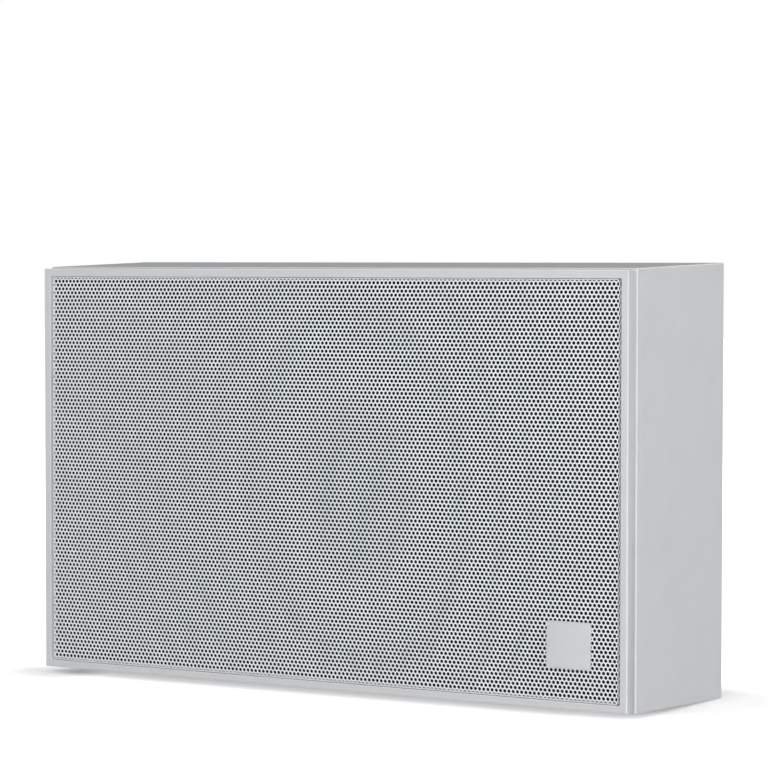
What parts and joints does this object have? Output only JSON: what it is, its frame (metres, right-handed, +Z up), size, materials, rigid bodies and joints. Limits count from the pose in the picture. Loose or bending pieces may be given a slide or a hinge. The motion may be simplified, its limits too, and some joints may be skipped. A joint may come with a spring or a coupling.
{
  "type": "wall speaker",
  "caption": "Rectangular wall-mounted speaker: a moulded box that widens to the wall, a framed perforated grille and a full-range driver inside.",
  "frame": {"origin": "centre of the flat back that lies on the wall", "axes": "+Z up, +X to the right seen from the room, +Y into the wall, so the front faces -Y"},
  "size_m": [0.302, 0.0844, 0.187],
  "materials": {
    "housing_plastic": "light grey moulded ABS with a very fine texture",
    "grille_steel": "satin light grey powder coat",
    "cloth": "black acoustic cloth",
    "badge_plastic": "plain satin light grey",
    "zinc_steel": "bright zinc plate",
    "black_rubber": "matt black",
    "wadding": "white polyester wadding",
    "foam": "dark grey closed-cell foam",
    "basket_steel": "black painted pressed steel",
    "surround_cloth": "doped black cloth",
    "spider_cloth": "resin-dipped yellow-brown cloth",
    "cone_paper": "black pressed paper",
    "former_paper": "brown kraft paper",
    "coil_copper": "enamelled copper wire",
    "ferrite": "dark grey ground ferrite",
    "phenolic": "brown laminated board",
    "tinned_brass": "plain brass",
    "core_steel": "stacked, varnished laminations",
    "bobbin_nylon": "natural nylon",
    "winding_tape": "amber tape over copper wire",
    "terminal_plastic": "off-white nylon",
    "wire_yellow": "yellow PVC insulation",
    "wire_blue": "blue PVC insulation",
    "wire_red": "red PVC insulation",
    "wire_black": "black PVC insulation"
  },
  "bodies": {
    "cabinet": {"rear_housing": "housing_plastic", "front_frame": "housing_plastic", "grille": "grille_steel", "grille_cloth": "cloth", "badge": "badge_plastic", "frame_screws": "zinc_steel", "cable_grommet": "black_rubber", "damping_pad": "wadding", "driver_gasket": "foam", "driver_basket": "basket_steel", "surround": "surround_cloth", "spider": "spider_cloth", "top_plate": "zinc_steel", "magnet": "ferrite", "yoke": "zinc_steel", "tag_strip": "phenolic", "solder_tags": "tinned_brass", "tinsel_leads": "coil_copper", "driver_screws": "zinc_steel", "transformer_core": "core_steel", "transformer_bobbin": "bobbin_nylon", "transformer_winding": "winding_tape", "transformer_bracket": "zinc_steel", "transformer_screws": "zinc_steel", "terminal_block": "terminal_plastic", "terminal_inserts": "tinned_brass", "terminal_screws": "zinc_steel", "terminal_block_screws": "zinc_steel", "tap_wires": "wire_yellow", "common_wire": "wire_blue", "driver_lead_red": "wire_red", "driver_lead_black": "wire_black"},
    "moving_coil": {"cone": "cone_paper", "whizzer_cone": "cone_paper", "dust_cap": "cone_paper", "coil_former": "former_paper", "coil_winding": "coil_copper"}
  },
  "joints": [
    {"name": "cone_travel", "type": "slide", "parent": "cabinet", "child": "moving_coil", "axis": [0, -1, 0], "range_m": [-0.002, 0.002], "stiffness_N_per_m": 1500, "deforming": ["surround", "spider", "tinsel_leads"]}
  ]
}
